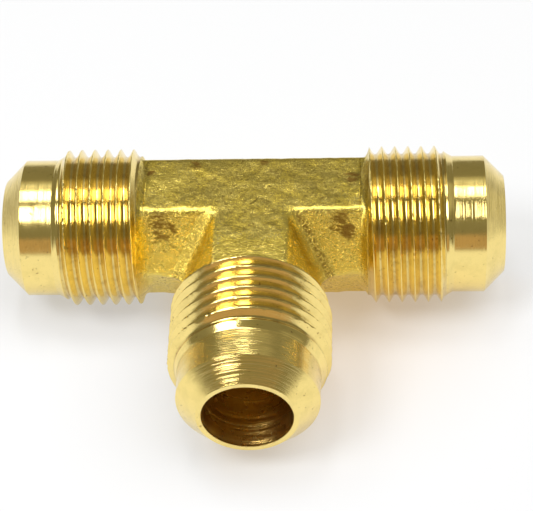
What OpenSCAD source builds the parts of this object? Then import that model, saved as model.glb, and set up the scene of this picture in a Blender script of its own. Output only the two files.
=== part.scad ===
// Flare union tee: one brass forging, machined to a male 45 degree flare end on each of its
// three arms. The run lies along X, the branch leaves along -Y, and +Z is up, with the origin
// where the bore axes cross. The forging and its three machined ends meet face to face.

/* [Flare ends] */
// Major diameter of the straight thread (3/4-16 UNF)
thread_d = 19.05; // [18.5:0.05:20]
// Distance from the centre to each end's nose face
end_reach = 30.15; // [28:0.05:40]
// Length of the 45 degree flare seat along the axis
seat_len = 2.4; // [1.5:0.1:2.8]
// Diameter of the plain pilot between the seat and the thread
pilot_d = 16.5; // [16:0.1:17]
// Length of the plain pilot
pilot_len = 3.9; // [2:0.1:6]
// Axial length of the chamfer that starts the thread
lead_chamfer = 0.65; // [0.2:0.05:1]
// Width of the small break on the edge of the nose face
nose_break = 0.1; // [0.05:0.05:0.4]

/* [Bores] */
// Diameter of the waterway through the run and up the branch
bore_d = 10.5; // [8:0.1:10.8]
// Width of the chamfer at the mouth of each bore
mouth_chamfer = 0.1; // [0.05:0.05:0.3]

/* [Forging] */
// Height of the forging, flat to flat
body_h = 14.6; // [14:0.1:15]
// Width of the flat on top of each arm
flat_w = 8.8; // [8:0.1:10]
// Width of each arm at the parting line
parting_w = 16.1; // [15.5:0.1:16.8]
// Radius on the edges of the flats
edge_r = 0.8; // [0.3:0.1:1.2]
// Radius on the ridge along the parting line
ridge_r = 0.5; // [0.2:0.1:1]
// Radius of the fillet in the valleys between run and branch
valley_r = 1.6; // [0.8:0.1:2]

/* [Skirts] */
// Distance from the centre to the lip where the forging meets the thread
lip_reach = 14; // [13.5:0.1:16]
// Diameter of the lip
lip_d = 18.9; // [18:0.05:19]
// Length of the flared skirt behind the lip
skirt_len = 2.3; // [1.8:0.1:2.6]
// Radius of the hollow curve of the skirt
skirt_r = 3.4; // [3:0.1:5]

/* [Hidden] */
$fn = 96;
forged_colour = [0.74, 0.62, 0.27];
machined_colour = [0.87, 0.74, 0.38];

half_h = body_h / 2;
half_flat = flat_w / 2;
half_parting = parting_w / 2;
thread_r = thread_d / 2;
pilot_r = pilot_d / 2;
bore_r = bore_d / 2;
lip_r = lip_d / 2;
nose_r = pilot_r - seat_len;
seat_start = end_reach - seat_len;
pilot_start = seat_start - pilot_len;

// How far inside the flats the hollow curve of a skirt begins
skirt_sink = 0.4;
// The fillets stop this far below the flats, under the round on their edges
fillet_drop = edge_r / 3;
// How far a fillet's bar reaches into the metal behind it
fillet_back = 2;
// How far a cut runs on past what it cuts
past = 1;

// Turns of the branch: the run's right end is the pattern, turned about Z to each arm
LEFT = 180;
RIGHT = 0;
BRANCH = -90;

// Corners of one arm's six-sided section, as [across, up], with the radius on each
hexagon = [
    [half_flat, half_h, edge_r],
    [-half_flat, half_h, edge_r],
    [-half_parting, 0, ridge_r],
    [-half_flat, -half_h, edge_r],
    [half_flat, -half_h, edge_r],
    [half_parting, 0, ridge_r]
];

function flat_point(c) = [c[0], c[1]];
function unit(v) = v / norm(v);
// Unit vectors from corner i of outline c to the corners beside it
function back_along(c, i) = unit(flat_point(c[(i + len(c) - 1) % len(c)]) - flat_point(c[i]));
function on_along(c, i) = unit(flat_point(c[(i + 1) % len(c)]) - flat_point(c[i]));
function half_angle(c, i) = acos(back_along(c, i) * on_along(c, i)) / 2;
// How far from corner i its round begins, and where the centre of the round is
function round_start(c, i) = c[i][2] / tan(half_angle(c, i));
function round_centre(c, i) =
    flat_point(c[i]) + unit(back_along(c, i) + on_along(c, i)) * c[i][2] / sin(half_angle(c, i));

// Outline c with a true arc at each corner
module rounded(c) {
    polygon([for (i = [0 : len(c) - 1]) each [
        flat_point(c[i]) + back_along(c, i) * round_start(c, i),
        flat_point(c[i]) + on_along(c, i) * round_start(c, i)
    ]]);
    for (i = [0 : len(c) - 1])
        translate(round_centre(c, i)) circle(c[i][2]);
}

// Lays children that were drawn about Z so that they point out along +X
module along_x() {
    rotate([90, 0, 90]) children();
}

// Six-sided arm from the centre to its lip
module arm(start = 0) {
    translate([start, 0, 0])
        along_x() linear_extrude(lip_reach - start) rounded(hexagon);
}

// Hollow-curved skirt that flares from inside the arm's flats out to the lip
module skirt() {
    root_r = half_h - skirt_sink;
    root = [root_r, lip_reach - skirt_len];
    lip = [lip_r, lip_reach];
    chord = lip - root;
    // The curve's centre stands off the middle of the chord, outside the metal
    stand_off = sqrt(skirt_r * skirt_r - chord * chord / 4);
    centre = (root + lip) / 2 + stand_off * unit([chord[1], -chord[0]]);
    along_x() rotate_extrude() difference() {
        polygon([[0, root[1]], root, [lip[0], root[1]], lip, [0, lip[1]]]);
        translate(centre) circle(skirt_r);
    }
}

// Fillet along one valley, drawn for the corner of the arms on +X and +Y, above the parting line
module valley_fillet() {
    draft = half_parting - half_flat;
    slope = norm([draft, half_h]);
    // Half of the open angle between the two slanted faces
    open_half = acos(draft * draft / (slope * slope)) / -2 + 90;
    touch = valley_r / tan(open_half);
    lean = atan2(draft * sqrt(2), half_h);
    valley_len = norm([draft, draft, half_h]);
    intersection() {
        translate([half_parting, half_parting, 0])
            rotate([0, 0, 45]) rotate([0, -lean, 0])
            translate([0, 0, -past]) linear_extrude(valley_len + 2 * past) difference() {
                polygon([
                    [-fillet_back, 0],
                    [touch * cos(open_half), -touch * sin(open_half)],
                    [touch * cos(open_half), touch * sin(open_half)]
                ]);
                translate([valley_r / sin(open_half), 0]) circle(valley_r);
            }
        cube([lip_reach, lip_reach, half_h - fillet_drop]);
    }
}

// The waterway: one hole right through the run and one up the branch to meet it
module bores() {
    bored = end_reach + past;
    along_x() translate([0, 0, -bored]) cylinder(r = bore_r, h = 2 * bored);
    rotate([90, 0, 0]) cylinder(r = bore_r, h = bored);
}

// The forging: three arms, their skirts and the four fillets between run and branch, bored
module forged_body() color(forged_colour) difference() {
    union() {
        arm(-lip_reach);
        rotate(BRANCH) arm();
        for (turn = [LEFT, RIGHT, BRANCH]) rotate(turn) skirt();
        for (turn = [-90, 180], up = [0, 1])
            mirror([0, 0, up]) rotate(turn) valley_fillet();
    }
    bores();
}

// One machined end on the +X arm: thread at its major diameter, plain pilot, 45 degree seat
module flare_end() {
    along_x() rotate_extrude() polygon([
        [bore_r, lip_reach],
        [thread_r, lip_reach],
        [thread_r, pilot_start - lead_chamfer],
        [thread_r - lead_chamfer, pilot_start],
        [pilot_r, pilot_start],
        [pilot_r, seat_start],
        [nose_r + nose_break, end_reach - nose_break],
        [nose_r - nose_break, end_reach],
        [bore_r + mouth_chamfer, end_reach],
        [bore_r, end_reach - mouth_chamfer]
    ]);
}

module left_flare_end() color(machined_colour) rotate(LEFT) flare_end();
module right_flare_end() color(machined_colour) rotate(RIGHT) flare_end();
module branch_flare_end() color(machined_colour) rotate(BRANCH) flare_end();

forged_body();
left_flare_end();
right_flare_end();
branch_flare_end();
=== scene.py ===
import itertools
import math

import bmesh
import bpy
import numpy as np
from mathutils import Matrix, Vector


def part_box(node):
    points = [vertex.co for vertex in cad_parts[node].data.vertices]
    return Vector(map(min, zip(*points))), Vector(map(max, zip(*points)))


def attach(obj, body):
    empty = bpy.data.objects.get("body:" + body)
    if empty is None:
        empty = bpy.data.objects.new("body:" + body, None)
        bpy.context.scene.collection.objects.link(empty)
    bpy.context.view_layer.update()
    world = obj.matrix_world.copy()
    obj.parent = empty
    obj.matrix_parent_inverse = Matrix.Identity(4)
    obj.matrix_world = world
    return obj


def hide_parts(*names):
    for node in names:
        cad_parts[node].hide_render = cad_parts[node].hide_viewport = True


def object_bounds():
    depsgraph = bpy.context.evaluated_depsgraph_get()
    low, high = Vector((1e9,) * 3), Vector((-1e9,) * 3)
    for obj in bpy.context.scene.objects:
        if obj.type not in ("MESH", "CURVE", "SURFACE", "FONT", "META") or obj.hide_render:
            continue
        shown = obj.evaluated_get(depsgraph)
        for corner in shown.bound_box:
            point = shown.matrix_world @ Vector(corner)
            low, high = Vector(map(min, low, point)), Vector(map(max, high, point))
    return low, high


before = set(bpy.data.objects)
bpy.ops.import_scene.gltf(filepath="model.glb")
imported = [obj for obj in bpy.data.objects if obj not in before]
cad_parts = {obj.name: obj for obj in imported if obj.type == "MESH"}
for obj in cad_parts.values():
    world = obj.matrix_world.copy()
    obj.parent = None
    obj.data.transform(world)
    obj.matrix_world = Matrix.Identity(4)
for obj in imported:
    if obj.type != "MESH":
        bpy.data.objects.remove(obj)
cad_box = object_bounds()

# --- Viewpoint -------------------------------------------------------------------------------
# A long lens held above and in front of the branch, a few degrees to the right of it, and
# tilted until the run looks almost level.
mm = 0.001
azimuth = math.radians(4.0)
elevation = math.radians(46.46)
tilt = math.radians(-3.45)
distance = 259.4 * mm
aim_right = 1.38 * mm
aim_down = 3.64 * mm
focal_length = 143.4

back = Vector((math.sin(azimuth) * math.cos(elevation),
               -math.cos(azimuth) * math.cos(elevation),
               math.sin(elevation)))
level = Vector((math.cos(azimuth), math.sin(azimuth), 0))
upright = back.cross(level)
across = level * math.cos(tilt) + upright * math.sin(tilt)
upward = upright * math.cos(tilt) - level * math.sin(tilt)

camera = bpy.data.objects.new("camera", bpy.data.cameras.new("camera"))
camera.data.lens = focal_length
camera.location = across * aim_right - upward * aim_down + back * distance
camera.rotation_euler = Matrix((across, upward, back)).transposed().to_euler()
bpy.context.collection.objects.link(camera)
bpy.context.scene.camera = camera
bpy.context.scene.view_settings.view_transform = "Standard"


# --- Forged body -----------------------------------------------------------------------------
# The tee as it leaves the dies: three six-sided arms with drafted flanks that meet in filleted
# valleys, hot-forged in brass, pickled, and handled loose in a bin with others. The bores are
# drilled through it from the three ends.
half_height = 7.3 * mm
half_flat = 4.4 * mm
half_parting = 8.05 * mm
bore_r = 5.25 * mm
valley_r = 2.2 * mm
edge_power = 40
# The skirt's root and lip: how far along the arm, and at what radius.
skirt_root = (11.7 * mm, 6.9 * mm)
skirt_lip = (14.0 * mm, 9.45 * mm)
skirt_hollow = 3.4 * mm
lip_slope = 2.6
skirt_blend = 0.5 * mm
flash = 0.22 * mm
flash_end = (10.0 * mm, 11.5 * mm)
least_valley = 0.05
cut_reach = 12.9 * mm
around = 360
arm_rows = 76
bore_rows = 8
angles = np.arange(around) * (2 * math.pi / around)
# Unevenness left by the dies, by scale and by pickling: cell size and height of each.
wear_waves = [(2.6 * mm, 0.045 * mm), (0.9 * mm, 0.022 * mm), (0.42 * mm, 0.012 * mm)]
lattice_cells = 64
weld_gap = 1e-6
sliver = 1e-7
almost_zero = 1e-9

gold = (0.900, 0.690, 0.120, 1)
olive = (0.600, 0.480, 0.130, 1)
# Dark brown of scale, spots and cracks, also used for painted shade in the valleys.
scale_and_shade_brown = (0.230, 0.120, 0.022, 1)
# Light gold of worn edges, also used for painted glints, sheen, highlights and reflection.
worn_and_highlight_gold = (0.990, 0.805, 0.215, 1)
# Places of the marks on the skin, in millimetres. First, where scale was left or grime has set,
# and how far each patch reaches.
patches = [((-10.6, -5.3, 5.3), 3.4), ((10.7, -5.2, 5.9), 2.3), ((11.6, -5.7, 4.6), 1.6),
           ((11.9, 0.9, 7.4), 1.7), ((-12.3, 1.8, 7.4), 1.0), ((1.3, 3.4, 7.3), 0.9),
           ((-7.2, 3.2, 7.3), 1.3)]
# Then a patch of the top flat lightened as a painted sheen, and how far it reaches.
painted_sheen_patch = ((-10.6, 0.2, 7.3), 3.6)
# Where the sides turn into the top flat, along Z, and where that flat on the branch is lightened
# as a painted sheen. Then the valleys: how far off 45 degrees, how wide, and from where.
top_flat_from = (6.4, 7.2)
painted_sheen_from = (7.5, 12.0)
valley_offset = 0.85
valley_width = (0.2, 1.1)
valley_from = (4.2, 5.0)
# A dent from another part's edge on the top flat: the stretch of an arc that lies near a spot.
gouge_spot = ((0.5, -2.9, 7.3), 1.1)
gouge_bend = (-0.9, -2.0, 7.3)
gouge_r = 1.6
gouge_width = (0.03, 0.14)
grain_height = 0.20 * mm

RIGHT = 0.0
LEFT = math.pi
BRANCH = -math.pi / 2


class Value:
    """A number, colour or vector inside a finish. Arithmetic on it adds Math nodes."""

    def __init__(self, finish, socket):
        self.finish = finish
        self.socket = socket

    def _math(self, operation, *inputs):
        return self.finish.node("Math", {"operation": operation}, dict(enumerate(inputs)))

    def __add__(self, other):
        return self._math("ADD", self, other)

    def __sub__(self, other):
        return self._math("SUBTRACT", self, other)

    def __rsub__(self, other):
        return self._math("SUBTRACT", other, self)

    def __mul__(self, other):
        return self._math("MULTIPLY", self, other)

    def __abs__(self):
        return self._math("ABSOLUTE", self)

    __radd__ = __add__
    __rmul__ = __mul__


class Finish:
    """A material under construction, with one metal shader."""

    def __init__(self, name):
        self.material = bpy.data.materials.new(name)
        self.material.use_nodes = True
        self.tree = self.material.node_tree
        self.shader = self.tree.nodes["Principled BSDF"]
        self.shader.inputs["Metallic"].default_value = 1.0

    def node(self, kind, settings=None, sockets=None, out=0):
        """Adds a node of that kind: its settings first, then the values or links of its sockets."""
        node = self.tree.nodes.new("ShaderNode" + kind)
        for key, value in (settings or {}).items():
            setattr(node, key, value)
        for key, value in (sockets or {}).items():
            if isinstance(value, Value):
                self.tree.links.new(value.socket, node.inputs[key])
            else:
                node.inputs[key].default_value = value
        return Value(self, node.outputs[out])

    def place(self):
        """The place on the piece, in millimetres."""
        here = self.node("TexCoord", out=3)
        return self.node("VectorMath", {"operation": "SCALE"}, {0: here, "Scale": 1 / mm})

    def mark(self, name):
        """A number from 0 to 1 that the mesh carries on its points."""
        return self.node("Attribute", {"attribute_name": name}, out=2)

    def axis(self, place, number):
        """One coordinate of a place: 0 for X, 1 for Y, 2 for Z."""
        return self.node("SeparateXYZ", {}, {"Vector": place}, out=number)

    def gap(self, place, centre):
        """How far the place is from a centre."""
        return self.node("VectorMath", {"operation": "DISTANCE"}, {0: place, 1: centre}, out=1)

    def stretched(self, place, scale):
        """The place with each coordinate times its own number."""
        return self.node("VectorMath", {"operation": "MULTIPLY"}, {0: place, 1: scale})

    def noise(self, place, scale, detail=2.0, rough=0.5):
        """Random cloud from 0 to 1, with scale cells to the millimetre."""
        return self.node("TexNoise", {}, {"Vector": place, "Scale": scale, "Detail": detail,
                                          "Roughness": rough})

    def step(self, value, low, high):
        """0 below low, 1 above high and a smooth ramp between them."""
        return self.node("MapRange", {"interpolation_type": "SMOOTHSTEP"},
                         {"Value": value, "From Min": low, "From Max": high})

    def near(self, place, centre, reach):
        """1 close to the centre, falling to 0 at that reach from it."""
        return 1 - self.step(self.gap(place, centre), reach * 0.25, reach)

    def larger(self, first, second):
        """Whichever of two numbers is larger."""
        return self.node("Math", {"operation": "MAXIMUM"}, {0: first, 1: second})

    def blend(self, amount, first, second):
        """A colour that goes from first to second as amount goes from 0 to 1."""
        return self.node("Mix", {"data_type": "RGBA"}, {0: amount, 6: first, 7: second}, out=2)

    def mixed(self, amount, first, second):
        """A number that goes from first to second as amount goes from 0 to 1."""
        return self.node("Mix", {}, {0: amount, 2: first, 3: second})

    def bump(self, height, distance, under=None):
        """A normal tipped by the slope of a height from 0 to 1 that stands for that distance."""
        sockets = {"Height": height, "Strength": 1.0, "Distance": distance}
        if under is not None:
            sockets["Normal"] = under
        return self.node("Bump", {}, sockets)

    def drive(self, name, value):
        """Feeds one of the shader's own sockets."""
        self.tree.links.new(value.socket, self.shader.inputs[name])


def forged_skin(finish):
    """Colour, roughness and height of the forging's skin. Noise in several sizes makes its
    clouds, its grain and its speckle, which is brown where it is highest and carries painted
    glints where it is lowest. Scale shows where a noise plus the nearness of a patch passes a
    threshold, and its cracks where a second noise crosses one half. The valleys are darkened as
    painted shade, most on the right. The edges are lighter, partly from wear and partly as a
    painted highlight. The sides below the top flat are lightened as a painted reflection, and one
    patch of the top flat and its end at the branch as a painted sheen."""
    place = finish.place()
    x, y, z = (finish.axis(place, number) for number in range(3))
    cloud = finish.noise(place, 0.40, 6.0, 0.72)
    flakes = finish.noise(finish.stretched(place, (0.7, 1.5, 1.5)), 1.0, 8.0, 0.80)
    grain_coarse = finish.noise(place, 1.8, 3.0, 0.65)
    grain_fine = finish.noise(place, 7.5, 2.0, 0.65)
    speckle = finish.noise(place, 3.2, 3.0, 0.70)
    scuffs = finish.noise(finish.stretched(place, (0.8, 4.0, 2.5)), 1.0, 3.0, 0.6)
    # The sides below the top flat. Besides their grain and roughness, the colour makes them lighter
    # and less dull, with fewer brown spots and more glints: a painted reflection of the paper
    # below.
    low_side = 1 - finish.step(z, *top_flat_from)
    edge = finish.mark("edge") * finish.step(speckle, 0.36, 0.52)

    patch = 0
    for centre, reach in patches:
        patch = finish.near(place, centre, reach) + patch
    # Painted sheen: that patch and the top flat towards the branch are lightened and made less
    # dull, with more speckle in their bump.
    painted_sheen = finish.near(place, *painted_sheen_patch) + finish.step(0 - y, *painted_sheen_from)
    valley_gap = abs(abs(x) + y - valley_offset)
    in_valley = (1 - finish.step(valley_gap, *valley_width)) * finish.step(0 - y, *valley_from)
    side = finish.step(x, -1.0, 1.0)
    # Painted shade in the valleys: speckled, and deeper in the right one than in the left.
    valley_shade = in_valley * finish.step(speckle, 0.40, 0.54) * finish.mixed(side, 0.55, 1.0)

    from_arc = abs(finish.gap(place, gouge_bend) - gouge_r)
    gouge = (1 - finish.step(from_arc, *gouge_width)) * finish.near(place, *gouge_spot)
    scale = finish.step(flakes + patch * 0.16, 0.585, 0.68)
    cracks = 1 - finish.step(abs(finish.noise(place, 0.75, 4.0, 0.6) - 0.5), 0.004, 0.022)
    spots = finish.step(speckle, 0.53, 0.68)
    # Painted glints: the lowest speckle is lightened towards gold, and more so on the sides below
    # the top flat.
    painted_glints = 1 - finish.step(speckle, 0.34, 0.46)
    dull = finish.step(cloud * 0.8 - painted_sheen * 0.18 - low_side * 0.15 + speckle * 0.4, 0.44, 0.70)

    colour = finish.blend(dull * (0.9 - edge * 0.8), gold, olive)
    colour = finish.blend(spots * (0.62 - edge * 0.4 - low_side * 0.08), colour, scale_and_shade_brown)
    # How far towards that light gold: edges partly by wear and partly as a painted highlight,
    # painted glints, painted sheen, and a painted reflection on the sides below the top flat.
    wear_and_painted_shine = painted_glints * (0.55 + low_side * 0.3) + edge * 0.5 + painted_sheen * 0.5 + low_side * 0.12
    colour = finish.blend(wear_and_painted_shine, colour, worn_and_highlight_gold)
    # Darkened by scale, by the painted valley shade and by cracks inside a patch.
    dark = finish.larger(scale * 0.9, valley_shade * 0.8)
    dark = finish.larger(dark, cracks * patch * 0.9)
    colour = finish.blend(dark, colour, scale_and_shade_brown)
    rough = 0.22 + low_side * 0.04 + dull * 0.06 + dark * 0.15 - edge * 0.05
    height = (grain_coarse * finish.mixed(low_side, 0.12, 0.38) - gouge * 0.30
              + grain_fine * finish.mixed(low_side, 0.12, 0.36)
              + speckle * (low_side * 0.36 + painted_sheen * 0.16 + in_valley * 0.5 + edge * 0.2)
              + scuffs * (1 - low_side) * 0.07)
    return colour, rough, height


forged = Finish("forged_brass")
skin_colour, skin_rough, skin_height = forged_skin(forged)
forged.drive("Base Color", skin_colour)
forged.drive("Roughness", skin_rough)
forged.drive("Normal", forged.bump(skin_height, grain_height))


def grain(points, size, seed):
    """Smooth random values from -1 to 1: random numbers on a cubic lattice whose cells are
    that size, blended between the cell's corners by 3t^2 - 2t^3 along each axis."""
    lattice = np.random.default_rng(seed).uniform(-1, 1, (lattice_cells,) * 3)
    place = points / size
    cell = np.floor(place).astype(int)
    part = place - cell
    part = part * part * (3 - 2 * part)
    value = 0
    for corner in itertools.product((0, 1), repeat=3):
        weight = np.prod(np.where(corner, part, 1 - part), axis=-1)
        index = (cell + corner) % lattice_cells
        value = value + weight * lattice[index[..., 0], index[..., 1], index[..., 2]]
    return value


def die_wear(points):
    """Moves points a little in a random direction that varies over the forging: along each axis
    by the sum of the waves, which have seeds of their own."""
    shift = [sum(grain(points, size, seed + 9 * number) * height
                 for number, (size, height) in enumerate(wear_waves)) for seed in (1, 2, 3)]
    return points + np.stack(shift, axis=-1)


def section(angle):
    """Radius of an arm's six-sided section at an angle from +Y: one over the power mean of the
    six faces' closeness, which rounds each corner. Also how near the angle is to a corner, from
    0 to 1: there the nearest face has only half of the sum."""
    flank = math.atan2(half_parting - half_flat, half_height)
    flank_reach = half_parting * math.cos(flank)
    faces = [(math.pi / 2, half_height), (-math.pi / 2, half_height)]
    faces += [(side, flank_reach) for side in (flank, -flank, math.pi - flank, math.pi + flank)]
    closeness = np.array([(np.maximum(np.cos(angle - way), 0) / reach) ** edge_power
                          for way, reach in faces])
    whole = closeness.sum(axis=0)
    return whole ** (-1 / edge_power), 2 - 2 * closeness.max(axis=0) / whole


def skirt(reach):
    """Radius of the hollow flare at a distance from the centre: an arc from its root to its lip
    that bulges towards the axis, level before the root and straight and steep past the lip."""
    chord = np.subtract(skirt_lip, skirt_root)
    length = math.hypot(*chord)
    off = math.sqrt(skirt_hollow ** 2 - length ** 2 / 4)
    middle = np.add(skirt_lip, skirt_root) / 2 + off * np.array([-chord[1], chord[0]]) / length
    inside = np.clip(reach, skirt_root[0], skirt_lip[0])
    radius = middle[1] - np.sqrt(skirt_hollow ** 2 - (inside - middle[0]) ** 2)
    return radius + np.maximum(reach - skirt_lip[0], 0) * lip_slope


def forged_radius(reach, angle):
    """Radius of the raw forging: the section or the skirt, whichever is larger. Where they differ
    by less than the blend, it is more by the square of what is missing over four blends."""
    flat, flare = section(angle)[0], skirt(reach)
    missing = np.maximum(skirt_blend - np.abs(flat - flare), 0)
    return np.maximum(flat, flare) + missing ** 2 / (4 * skirt_blend)


def turn(points, angle):
    """Points turned about Z from the arm on +X to where their own arm points."""
    x, y, z = np.moveaxis(points, -1, 0)
    c, s = math.cos(angle), math.sin(angle)
    return np.stack([c * x - s * y, s * x + c * y, z], axis=-1)


def sheet_of(points, first=0, ring=False):
    """Faces of a grid whose columns close round the axis, and whose last row meets its first if
    it is a ring. first is the number of its first vertex."""
    rows, columns = points.shape[:2]
    number = first + np.arange(rows * columns).reshape(rows, columns)
    if ring:
        number = np.concatenate([number, number[:1]])
    beside = np.roll(number, -1, axis=1)
    return np.stack([number[:-1], beside[:-1], beside[1:], number[1:]], axis=-1).reshape(-1, 4)


def piece(name, points, faces, material, node):
    """A smooth-shaded mesh on the part's one body, in place of a CAD node."""
    mesh = bpy.data.meshes.new(name)
    mesh.from_pydata(points.reshape(-1, 3), [], faces)
    mesh.polygons.foreach_set("use_smooth", np.ones(len(faces), dtype=bool))
    mesh.materials.append(material)
    made = bpy.data.objects.new(name, mesh)
    bpy.context.collection.objects.link(made)
    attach(made, "root")
    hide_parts(node)
    return made


def mark_points(made, name, values):
    """Writes a number on each point of a piece, for its material to read."""
    attribute = made.data.attributes.new(name, "FLOAT", "POINT")
    attribute.data.foreach_set("value", values.ravel().astype(np.float32))


def arm(angle, mitred):
    """One arm of the tee, outside and bore. Each line along it starts on the mitre plane where
    it meets the next arm, or at the centre where mitred says there is none, and ends at the cut.
    Near the mitre the flank leaves its plane on an arc seen from above: the valley fillet,
    which is sharper towards the top and bottom flats than at the parting line. The lower die
    sits a little proud, so the trimmed flash leaves a ledge that fades out at the skirt."""
    radius, edge = section(angles)
    side, rise = radius * np.cos(angles), radius * np.sin(angles)
    ledge = np.clip(-rise, 0, flash) * np.minimum(np.abs(side) / half_flat, 1)
    side = side + np.sign(side) * ledge
    width = np.abs(side)
    fillet = valley_r * np.clip(width / half_parting, least_valley, 1) * mitred
    start = (width + fillet * (1 - math.sqrt(0.5))) * mitred
    share = np.linspace(0, 1, arm_rows)[:, None]
    along = start + (cut_reach - start) * share
    bend = np.clip(width + fillet - along, 0, fillet)
    swell = fillet - np.sqrt(fillet ** 2 - bend ** 2)
    faded = np.clip((along - flash_end[0]) / (flash_end[1] - flash_end[0]), 0, 1)
    side = side + np.sign(side) * (swell - ledge * faded)
    rise = np.broadcast_to(rise, side.shape)
    flared = forged_radius(along, angles) / radius
    outside = np.stack([along, side * flared, rise * flared], axis=-1)

    side, rise = bore_r * np.cos(angles), bore_r * np.sin(angles)
    start = np.abs(side) * mitred
    share = np.linspace(1, 0, bore_rows)[:, None]
    along = start + (cut_reach - start) * share
    inside = np.stack(np.broadcast_arrays(along, side, rise), axis=-1)
    edge = np.concatenate([np.tile(edge, (arm_rows, 1)), np.zeros((bore_rows, around))])
    return np.concatenate([die_wear(turn(outside, angle)), turn(inside, angle)]), edge


grids, edges = [], []
for way, mitred in ((RIGHT, np.cos(angles) < -almost_zero), (LEFT, np.cos(angles) > almost_zero),
                    (BRANCH, np.ones(around, dtype=bool))):
    grid, edge = arm(way, mitred.astype(float))
    grids.append(grid)
    edges.append(edge)
points = np.concatenate([grid.reshape(-1, 3) for grid in grids])
faces = np.concatenate([sheet_of(grid, i * grid.shape[0] * around) for i, grid in enumerate(grids)])
forged_body = piece("forged_tee", points, faces, forged.material, "forged_body")
mark_points(forged_body, "edge", np.concatenate(edges))

welded = bmesh.new()
welded.from_mesh(forged_body.data)
bmesh.ops.remove_doubles(welded, verts=welded.verts, dist=weld_gap)
bmesh.ops.dissolve_degenerate(welded, edges=welded.edges, dist=sliver)
welded.to_mesh(forged_body.data)
welded.free()


# --- Flare ends ------------------------------------------------------------------------------
# The three machined ends, cut on the forging itself: a 3/4-16 thread, a plain pilot, the
# 45 degree seat and the nose face, then the mouth of the bore, all turned in one setting.
thread_r = 9.525 * mm
pitch = 25.4 * mm / 16
thread_depth = 0.97 * mm
crest_half = 0.03 * mm
crest_soft = 0.04 * mm
root_soft = 0.20 * mm
pilot_r = 8.25 * mm
pilot_start = 23.85 * mm
pilot_fillet = 0.15 * mm
lead_slope = 0.65
lead_length = 0.9 * mm
first_face_slope = 1.8
seat_start = 27.75 * mm
nose_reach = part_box("right_flare_end")[1][0]
nose_r = 5.85 * mm
break_r = 0.036 * mm
mouth = 0.07 * mm
mouth_depth = 0.6 * mm
# Chips in the crests: the cell size of each kind, and the noise above which it bites.
chip_kinds = [(0.33 * mm, 0.15), (0.9 * mm, 0.45)]
chip_seed = 40
chip_depth = 0.28 * mm
crest_band = 0.35 * mm
least_chips = 0.25
raw_fade = 0.05 * mm
row_gap = 0.05 * mm
thread_rows = 172
nose_spacing = 0.14 * mm
bore_spacing = 1.1 * mm
crest_places = {"left": 14.13 * mm, "right": 15.29 * mm, "branch": 15.24 * mm}

fresh = (0.920, 0.725, 0.260, 1)
dull_brass = (0.760, 0.590, 0.200, 1)
# Dark brown of nicks, also used to darken the roots of the thread.
nick_and_root_brown = (0.330, 0.190, 0.050, 1)
# Darker, more orange brass for the inside of the bore: painted shade in the recess.
bore_shade_brass = (0.800, 0.540, 0.160, 1)
ring_height = 0.021 * mm


def turned_skin(finish):
    """Colour, roughness and height of a turned surface. Noise in rings round the axis, read from
    the UV map's length along the profile, makes the tool marks. Noise in space makes tarnish and
    a few dark nicks. Marks on the points tell the bore, which is coarser and painted darker as
    shade, the thread, which is finer, and the roots of the thread, which are made darker."""
    along = finish.node("UVMap", {"uv_map": "turned"})
    place = finish.place()
    bored, deep, threaded = (finish.mark(name) for name in ("bored", "deep", "threaded"))
    rings = finish.stretched(along, (0.12, 1 / mm, 1.0))
    fine = finish.noise(rings, 22.0, 1.0)
    broad = finish.noise(rings, 1.8, 2.0, 0.5)
    tarnish = finish.step(finish.noise(place, 0.5, 4.0, 0.65), 0.42, 0.72)
    nicks = finish.step(finish.noise(place, 2.4, 2.0, 0.5), 0.695, 0.73)
    colour = finish.blend(tarnish * 0.5, fresh, dull_brass)
    colour = finish.blend(nicks * 0.7, colour, nick_and_root_brown)
    # The bore takes the darker brass as painted shade.
    colour = finish.blend(bored, colour, bore_shade_brass)
    # Darker towards the bottom of each thread root, by an amount that the tarnish noise varies.
    colour = finish.blend(deep * (0.35 + tarnish * 0.45), colour, nick_and_root_brown)
    rough = 0.12 + broad * 0.04 + tarnish * 0.06 + bored * 0.12
    tooth = finish.noise(place, 8.0, 2.0, 0.6)
    chatter = finish.noise(rings, 6.5, 1.0)
    height = (fine * (1 - threaded * 0.7) + broad * 0.08 + tooth * threaded * 0.2
              + chatter * bored * 4.6)
    return colour, rough, height


turned = Finish("machined_brass")
skin_colour, skin_rough, skin_height = forged_skin(turned)
ring_colour, ring_rough, rings_cut = turned_skin(turned)
raw = turned.mark("raw")
turned.drive("Base Color", turned.blend(raw, ring_colour, skin_colour))
turned.drive("Roughness", turned.mixed(raw, ring_rough, skin_rough))
ring_bump = turned.bump(rings_cut * (1 - raw), ring_height)
turned.drive("Normal", turned.bump(skin_height * raw, grain_height, ring_bump))


def rounded_path(corners, radius, steps=4):
    """Points along straight lines through the corners, as (reach, radius). Each inner corner is
    replaced by a small curve between two tangent points, and a point close outside each of them
    keeps the shading of the lines flat."""
    corners = np.array(corners)
    path = [corners[:1]]
    for before, here, after in zip(corners, corners[1:], corners[2:]):
        back_way = (before - here) / np.linalg.norm(before - here)
        on_way = (after - here) / np.linalg.norm(after - here)
        half = math.acos(np.clip(back_way @ on_way, -1, 1)) / 2
        cut = radius / math.tan(half)
        share = np.linspace(0, 1, steps)[:, None]
        curve = here + back_way * cut * (1 - share) ** 2 + on_way * cut * share ** 2
        path += [[here + back_way * cut * 1.5], curve, [here + on_way * cut * 1.5]]
    path.append(corners[-1:])
    return np.concatenate(path)


def filled(path, spacing):
    """The path with more points wherever two of them are further apart than spacing."""
    parts = [path[:1]]
    for a, b in zip(path, path[1:]):
        count = max(1, math.ceil(np.linalg.norm(b - a) / spacing))
        parts.append(a + (b - a) * np.linspace(0, 1, count + 1)[1:, None])
    return np.concatenate(parts)


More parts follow.
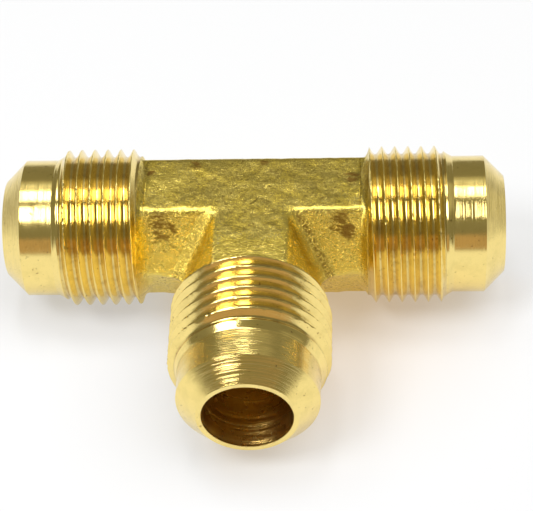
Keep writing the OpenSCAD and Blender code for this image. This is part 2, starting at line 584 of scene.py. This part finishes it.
def soft_floor(value, floor, soft):
    """The larger of value and floor, with a rounded corner between them."""
    return (value + floor + np.sqrt((value - floor) ** 2 + soft ** 2)) / 2


def thread_radius(reach, angle, crest_place):
    """Radius of a right-hand thread: flanks at 30 degrees to the radius fall from a narrow
    crest, whose place moves one pitch in a turn, to a rounded root."""
    phase = (reach - crest_place) / pitch - angle / (2 * math.pi)
    from_crest = np.abs(phase - np.round(phase)) * pitch
    fall = soft_floor(from_crest - crest_half, 0, crest_soft) / math.tan(math.radians(30))
    return thread_r - (thread_depth - soft_floor(thread_depth - fall, 0, root_soft))


def start_cone(reach):
    """Radius of the cone that starts the thread: a small fillet at the pilot, a shallow face and
    then, towards the crests, a steeper one."""
    face = soft_floor(pilot_r + (pilot_start - reach) * lead_slope, pilot_r, pilot_fillet)
    face_end = pilot_r + lead_length * lead_slope
    return np.maximum(face, face_end + (pilot_start - lead_length - reach) * first_face_slope)


def turned_profile():
    """The pilot, the seat, the nose, the mouth and the bore, as points (reach, radius) from the
    thread's end out to the nose and back down the bore to the cut."""
    nose = filled(rounded_path([
        (pilot_start + row_gap, pilot_r), (seat_start, pilot_r), (nose_reach, nose_r),
        (nose_reach, bore_r + mouth), (nose_reach - mouth, bore_r),
        (nose_reach - mouth_depth, bore_r)], break_r), nose_spacing)
    bore = filled(np.array([nose[-1], (cut_reach, bore_r)]), bore_spacing)[1:]
    return np.concatenate([nose, bore])


def chip_crests(points, radius, reach, angle):
    """Draws the points of a thread towards the axis where a noise passes the threshold of a kind
    of chip: most at the crests, and most near the thread's start, where other parts knock it.
    The coordinate along the axis stays."""
    crest = np.clip(1 - (thread_r - radius) / crest_band, 0, 1)
    near_start = np.clip(1 - (pilot_start - reach) / (2 * pitch), least_chips, 1)
    chip = sum(np.maximum(grain(points, size, chip_seed + number) - threshold, 0)
               for number, (size, threshold) in enumerate(chip_kinds))
    smaller = 1 - chip * crest * near_start * chip_depth / thread_r
    along_axis = np.abs([math.cos(angle), math.sin(angle), 0.0]) > 0.5
    return points * np.where(along_axis, 1, smaller[..., None])


def unroll(made, profile):
    """A UV map whose u goes once round the axis, and whose v is the length along the profile on
    the first column, in metres."""
    line = profile[:, 0]
    length = np.cumsum(np.hypot(*(np.roll(line, -1, axis=0) - line).T))
    length = np.concatenate([[0], length])
    u = np.arange(around + 1) / around
    corner_u = np.stack([u[:-1], u[1:], u[1:], u[:-1]], axis=-1)
    corner_v = np.stack([length[:-1], length[:-1], length[1:], length[1:]], axis=-1)
    uv = np.stack(np.broadcast_arrays(corner_u[None], corner_v[:, None]), axis=-1)
    layer = made.data.uv_layers.new(name="turned")
    layer.data.foreach_set("uv", uv.ravel().astype(np.float32))


def flare_end(name, angle, crest_place):
    """One end as a closed grid: its rows follow the profile from the cut out to the nose, back
    down the bore and across to the start, and its columns go round the axis. Over the thread the
    radius is the least of the raw forging, the thread and the cone that starts it. Marks tell
    where the skin is raw, where it is thread or bore, and how deep in a root it lies."""
    lead = np.linspace(cut_reach, pilot_start, thread_rows)[:, None]
    raw = forged_radius(lead, angles)
    cut = np.minimum(thread_radius(lead, angles, crest_place), start_cone(lead))
    surface = np.minimum(raw, cut)
    threaded = np.stack(np.broadcast_arrays(lead, surface), axis=-1)
    plain = turned_profile()[:, None]
    profile = np.concatenate([threaded, np.broadcast_to(plain, (len(plain), around, 2))])
    reach, radius = profile[..., 0], profile[..., 1]
    points = np.stack([reach, radius * np.cos(angles), radius * np.sin(angles)], axis=-1)
    points = turn(points, angle)
    points[:thread_rows] = chip_crests(points[:thread_rows], surface, lead, angle)

    marks = {mark: np.zeros(reach.shape) for mark in ("raw", "bored", "threaded", "deep")}
    marks["raw"][:thread_rows] = np.clip((cut - raw) / raw_fade, 0, 1)
    marks["bored"][radius < bore_r + mouth / 2] = 1
    marks["threaded"][:thread_rows] = 1
    depth = (thread_r - surface) / thread_depth
    marks["deep"][:thread_rows] = np.clip(depth * 4 - 3, 0, 1) * (lead < pilot_start - pitch / 2)

    worn = die_wear(points)
    points = points + (worn - points) * marks["raw"][..., None]
    points[0] = worn[0]
    made = piece(name + "_end", points, sheet_of(points, ring=True), turned.material,
                 name + "_flare_end")
    for mark, values in marks.items():
        mark_points(made, mark, values)
    unroll(made, profile)


for name, way in (("left", LEFT), ("right", RIGHT), ("branch", BRANCH)):
    flare_end(name, way, crest_places[name])


# --- Table top -------------------------------------------------------------------------------
# White paper under the thread crests. A glow of its own fills the shadow, as light passed back
# and forth does, and it is golden close to the brass, in front of it and on its right.
floor_half = 2.0
floor_z = cad_box[0][2]
# How far from the centre the glow is golden and then white, in millimetres. Over the stretches
# on the left and behind, the paper comes to count as further away by that much.
near_brass, past_brass = 14.0, 40.0
left_from, left_further = (2.0, 14.0), 20.0
behind_from, behind_further = (-2.0, 10.0), 30.0
paper_grey = (0.275, 0.285, 0.305, 1)
glow_golden = (1.0, 0.78, 0.55, 1)
glow_white = (1.0, 0.98, 0.96, 1)
glow_strength = 0.48

floor_mesh = bpy.data.meshes.new("floor")
floor_mesh.from_pydata([(x * floor_half, y * floor_half, floor_z)
                        for x, y in ((-1, -1), (1, -1), (1, 1), (-1, 1))], [], [(0, 1, 2, 3)])
floor = bpy.data.objects.new("floor", floor_mesh)
bpy.context.collection.objects.link(floor)
paper = Finish("paper")
paper.shader.inputs["Metallic"].default_value = 0.0
paper.shader.inputs["Base Color"].default_value = paper_grey
paper.shader.inputs["Roughness"].default_value = 0.9
paper.shader.inputs["Emission Strength"].default_value = glow_strength
here = paper.place()
away = paper.node("VectorMath", {"operation": "LENGTH"}, {0: here}, out=1)
left = paper.step(0 - paper.axis(here, 0), *left_from) * left_further
behind = paper.step(paper.axis(here, 1), *behind_from) * behind_further
whiteness = paper.step(away + left + behind, near_brass, past_brass)
paper.drive("Emission Color", paper.blend(whiteness, glow_golden, glow_white))
floor_mesh.materials.append(paper.material)


# --- Studio light ----------------------------------------------------------------------------
# Four soft boxes, two overhead and behind and two on the left. Cards behind, on the right and in
# front fill what the brass reflects. The last lamp is kept out of reflections: it lights paper.
card_cream = (1.0, 0.96, 0.78)
card_orange = (1.0, 0.52, 0.27)
room_colour = (0.33, 0.31, 0.22, 1)
room_strength = 0.7


def soft_box(name, toward, distance, width, depth, brightness, colour=(1, 1, 1)):
    """A flat light, that far away along toward and facing the part. Its width lies square to
    the Y axis and its depth runs with it. brightness is its radiance, so its power is that
    times its area and pi."""
    light = bpy.data.lights.new(name, "AREA")
    light.shape = "RECTANGLE"
    light.size, light.size_y = width, depth
    light.energy = brightness * width * depth * math.pi
    light.color = colour
    holder = bpy.data.objects.new(name, light)
    facing = Vector(toward).normalized()
    wide = Vector((0, 1, 0)).cross(facing).normalized()
    holder.location = facing * distance
    holder.rotation_euler = Matrix((wide, facing.cross(wide), facing)).transposed().to_euler()
    bpy.context.collection.objects.link(holder)
    return holder


soft_box("back_box", (-0.10, 0.19, 0.975), 0.7, 0.13, 0.21, 14)
soft_box("back_strip", (-0.10, 0.45, 0.89), 0.7, 0.12, 0.18, 1.2)
soft_box("left_back_box", (-0.48, 0.22, 0.85), 0.7, 0.14, 0.20, 5)
soft_box("left_box", (-0.48, -0.31, 0.82), 0.7, 0.25, 0.28, 15)
soft_box("back_card", (-0.05, 0.47, 0.88), 0.9, 1.2, 0.42, 0.30, card_cream)
soft_box("right_card", (0.85, 0.20, 0.40), 0.9, 0.6, 0.6, 0.25, card_cream)
soft_box("warm_card", (0.0, -0.97, 0.24), 0.9, 1.2, 0.40, 0.28, card_orange)
soft_box("paper_lamp", (0.45, -0.10, 0.89), 0.9, 0.8, 0.8, 4.0).visible_glossy = False
world = bpy.data.worlds.new("room")
world.use_nodes = True
world.node_tree.nodes["Background"].inputs["Color"].default_value = room_colour
world.node_tree.nodes["Background"].inputs["Strength"].default_value = room_strength
bpy.context.scene.world = world
